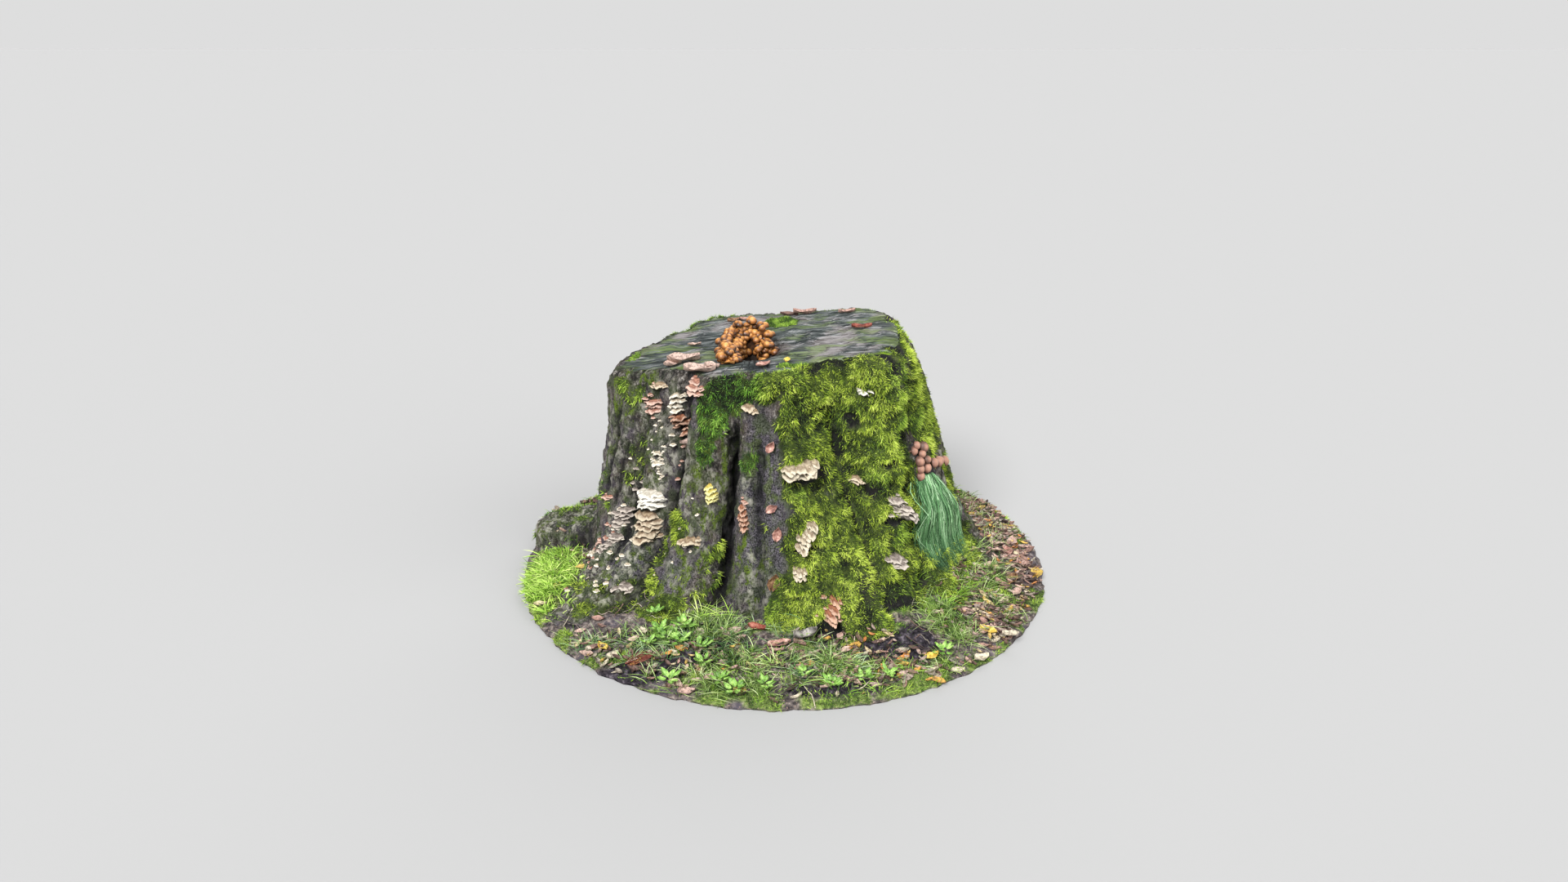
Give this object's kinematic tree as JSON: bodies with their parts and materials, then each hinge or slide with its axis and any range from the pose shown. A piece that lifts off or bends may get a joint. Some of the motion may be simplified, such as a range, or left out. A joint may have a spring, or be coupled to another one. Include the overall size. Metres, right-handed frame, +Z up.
{
  "type": "tree stump",
  "caption": "Old broad-leaf tree stump with flared roots on a round of forest floor, with bracket fungi, clusters of small mushrooms, a hanging grass tuft and fallen leaves.",
  "frame": {"origin": "centre of the round of ground, on its flat underside", "axes": "+Z up along the trunk, +X to the right and +Y away from the viewer of the picture"},
  "size_m": [2.01, 2.01, 0.9731],
  "materials": {
    "bark": "rough weathered bark and cut wood",
    "soil": "damp crumbly soil with litter",
    "fungus_pale": "matt",
    "fungus_tan": "matt",
    "fungus_pink": "matt",
    "fungus_grey": "matt",
    "caps_orange": "satin",
    "caps_brown": "satin",
    "fine_grass": "satin",
    "grass": "satin",
    "leaf_pink": "matt",
    "leaf_red": "matt",
    "leaf_yellow": "matt",
    "leaf_brown": "matt",
    "loose_bark": "rough"
  },
  "bodies": {
    "root": {"bark_scrap": "loose_bark", "bracket_back_a": "fungus_pale", "bracket_back_b": "fungus_tan", "bracket_back_c": "fungus_grey", "bracket_crack_orange": "fungus_pink", "bracket_crevice": "fungus_pink", "bracket_crust": "fungus_pale", "bracket_foot_pink": "fungus_pink", "bracket_left_low_a": "fungus_grey", "bracket_left_low_b": "fungus_grey", "bracket_left_side": "fungus_pink", "bracket_left_tiers": "fungus_tan", "bracket_left_white": "fungus_pale", "bracket_middle_brown": "fungus_tan", "bracket_middle_yellow": "fungus_tan", "bracket_moss_grey": "fungus_grey", "bracket_moss_low_left": "fungus_pale", "bracket_moss_low_right": "fungus_grey", "bracket_moss_middle": "fungus_tan", "bracket_moss_small": "fungus_pale", "bracket_moss_stack": "fungus_pale", "bracket_moss_white": "fungus_pale", "bracket_rim_brown": "fungus_tan", "bracket_rim_pink": "fungus_pink", "bracket_root_a": "fungus_pale", "bracket_root_b": "fungus_grey", "bracket_top_tan": "fungus_tan", "bracket_upper_pink": "fungus_pink", "bracket_upper_white": "fungus_pale", "dry_frond": "leaf_red", "grass_back": "grass", "grass_front": "grass", "grass_front_right": "grass", "grass_left": "grass", "grass_middle": "grass", "grass_right": "grass", "grass_tuft": "fine_grass", "leaf_back_brown": "leaf_brown", "leaf_bark_a": "leaf_pink", "leaf_bark_b": "leaf_pink", "leaf_bark_c": "leaf_pink", "leaf_bark_d": "leaf_brown", "leaf_cut_pink": "leaf_pink", "leaf_cut_red": "leaf_red", "leaf_cut_tan": "leaf_yellow", "leaf_cut_yellow": "leaf_yellow", "leaf_front_orange": "leaf_pink", "leaf_front_red": "leaf_red", "leaf_front_yellow": "leaf_yellow", "leaf_left_yellow": "leaf_yellow", "leaf_right_brown": "leaf_brown", "leaf_right_pink": "leaf_pink", "leaf_right_yellow": "leaf_yellow", "mushrooms_brown": "caps_brown", "mushrooms_orange": "caps_orange", "plants_front": "grass", "soil_round": "soil", "stump": "bark"}
  },
  "joints": []
}
